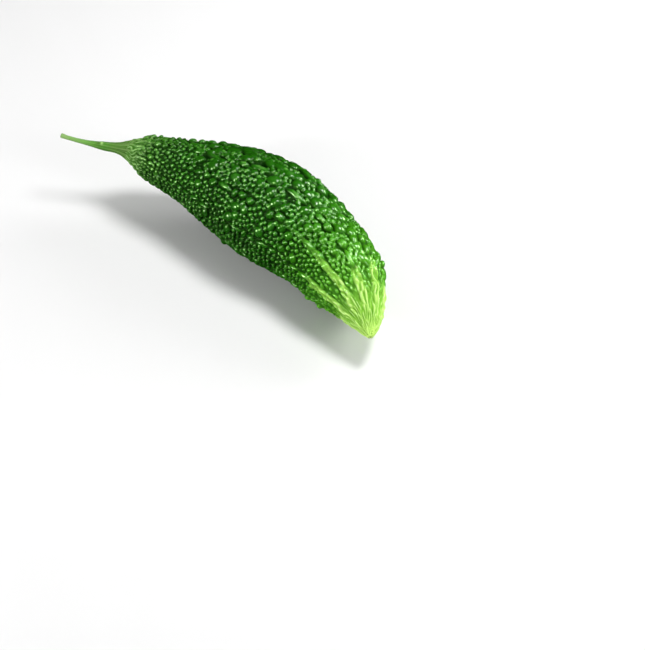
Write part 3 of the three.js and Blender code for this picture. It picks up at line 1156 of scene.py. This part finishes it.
# %% Fix the pieces
for piece, node, finish in ((fruit, "fruit", "warty_skin"), (stem, "stem", "stalk")):
    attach(piece, "root")
    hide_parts(node)
    low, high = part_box(node)
    box_in_mm = [round(value / MM, 1) for value in (*low, *high)]
    print(piece.name, "stands for", node, "whose box is", box_in_mm)

# %% [markdown]
# ## Floor and light
# A plain pale floor keeps the eye on the skin. Four soft panels light its colour: the key above and behind
# to the right, a rim light at the back, and weaker fills on both sides. Three small ones only shine. They
# leave the colour alone and give each wart its own highlight, tinted as wax over green skin is. The floor
# and the world light the gourd but aren't mirrored in it, or every valley would turn milky.

# %% Set the stage
FLOOR_HALF = 4
FLOOR_DROP = 0.0002
PALE_PAPER = paint(0.8, 0.8, 0.8)
LIGHT_TARGET = (0, 0, 0.03)
SHINE_TINT = (0.62, 1, 0.36)
WORLD_WHITE = paint(1, 1, 1)
WORLD_STRENGTH = 0.21


def make_floor():
    sheet = bmesh.new()
    bmesh.ops.create_grid(sheet, x_segments=1, y_segments=1, size=FLOOR_HALF)
    bmesh.ops.translate(sheet, verts=sheet.verts, vec=(0, 0, -FLOOR_DROP))
    mesh = bpy.data.meshes.new("floor")
    sheet.to_mesh(mesh)
    sheet.free()
    floor = new_piece("floor", mesh)
    paper = Finish("pale_floor")
    paper.surface(Base_Color=PALE_PAPER, Roughness=0.9, Specular_IOR_Level=0)
    mesh.materials.append(paper.material)
    floor.visible_glossy = False


def aim(thing, place, target):
    thing.location = place
    thing.rotation_euler = (Vector(target) - Vector(place)).to_track_quat("-Z", "Y").to_euler()


def panel(name, place, size, power, shine_only=False):
    light = bpy.data.lights.new(name, "AREA")
    light.shape = "DISK"
    light.size = size
    light.energy = power
    lamp = bpy.data.objects.new(name, light)
    if shine_only:
        light.color = SHINE_TINT
        lamp.visible_diffuse = False
    bpy.context.scene.collection.objects.link(lamp)
    aim(lamp, place, LIGHT_TARGET)


def light_world():
    world = bpy.data.worlds.new("studio")
    bpy.context.scene.world = world
    world.use_nodes = True
    background = world.node_tree.nodes["Background"]
    background.inputs["Color"].default_value = WORLD_WHITE
    background.inputs["Strength"].default_value = WORLD_STRENGTH
    world.cycles_visibility.glossy = False


make_floor()
panel("key", place=(0.22, 0.34, 1.05), size=0.36, power=9)
panel("rim", place=(0.38, 0.88, 0.5), size=0.5, power=5)
panel("front_shine", place=(0.12, -0.55, 0.95), size=0.2, power=13, shine_only=True)
panel("rim_shine", place=(0.38, 0.88, 0.5), size=0.2, power=12, shine_only=True)
panel("left_shine", place=(-0.4, -0.95, 0.42), size=0.16, power=14, shine_only=True)
panel("left_fill", place=(-0.4, -0.95, 0.42), size=0.22, power=6.5)
panel("right_fill", place=(0.95, 0.15, 0.55), size=0.3, power=2.4)
light_world()
bpy.context.scene.view_settings.view_transform = "Standard"
print(len(bpy.data.lights), "panels of light")

# %% [markdown]
# ## Camera
# The camera looks down on the gourd from the photograph's own angle, nearly a metre away through a long
# lens, so that the tip and the stem keep their true proportions. It aims beside the gourd, which puts the
# gourd left of the middle, as in the photograph.

# %% Place the camera
CAMERA_AZIMUTH = math.radians(42.1)
CAMERA_ELEVATION = math.radians(50)
CAMERA_DISTANCE = 919
CAMERA_AIM = np.array([73.4, -8.0, 20])
LENS_LENGTH = 85
SENSOR_WIDTH = 36


def set_camera():
    aim_point = Vector((CAMERA_AIM + SHIFT) * MM)
    back = Vector((
        math.sin(CAMERA_AZIMUTH) * math.cos(CAMERA_ELEVATION),
        -math.cos(CAMERA_AZIMUTH) * math.cos(CAMERA_ELEVATION),
        math.sin(CAMERA_ELEVATION),
    ))
    lens = bpy.data.cameras.new("camera")
    lens.lens = LENS_LENGTH
    lens.sensor_width = SENSOR_WIDTH
    camera = bpy.data.objects.new("camera", lens)
    bpy.context.scene.collection.objects.link(camera)
    aim(camera, aim_point + back * CAMERA_DISTANCE * MM, aim_point)
    bpy.context.scene.camera = camera
    print("camera stands at", tuple(round(value, 3) for value in camera.location))


set_camera()
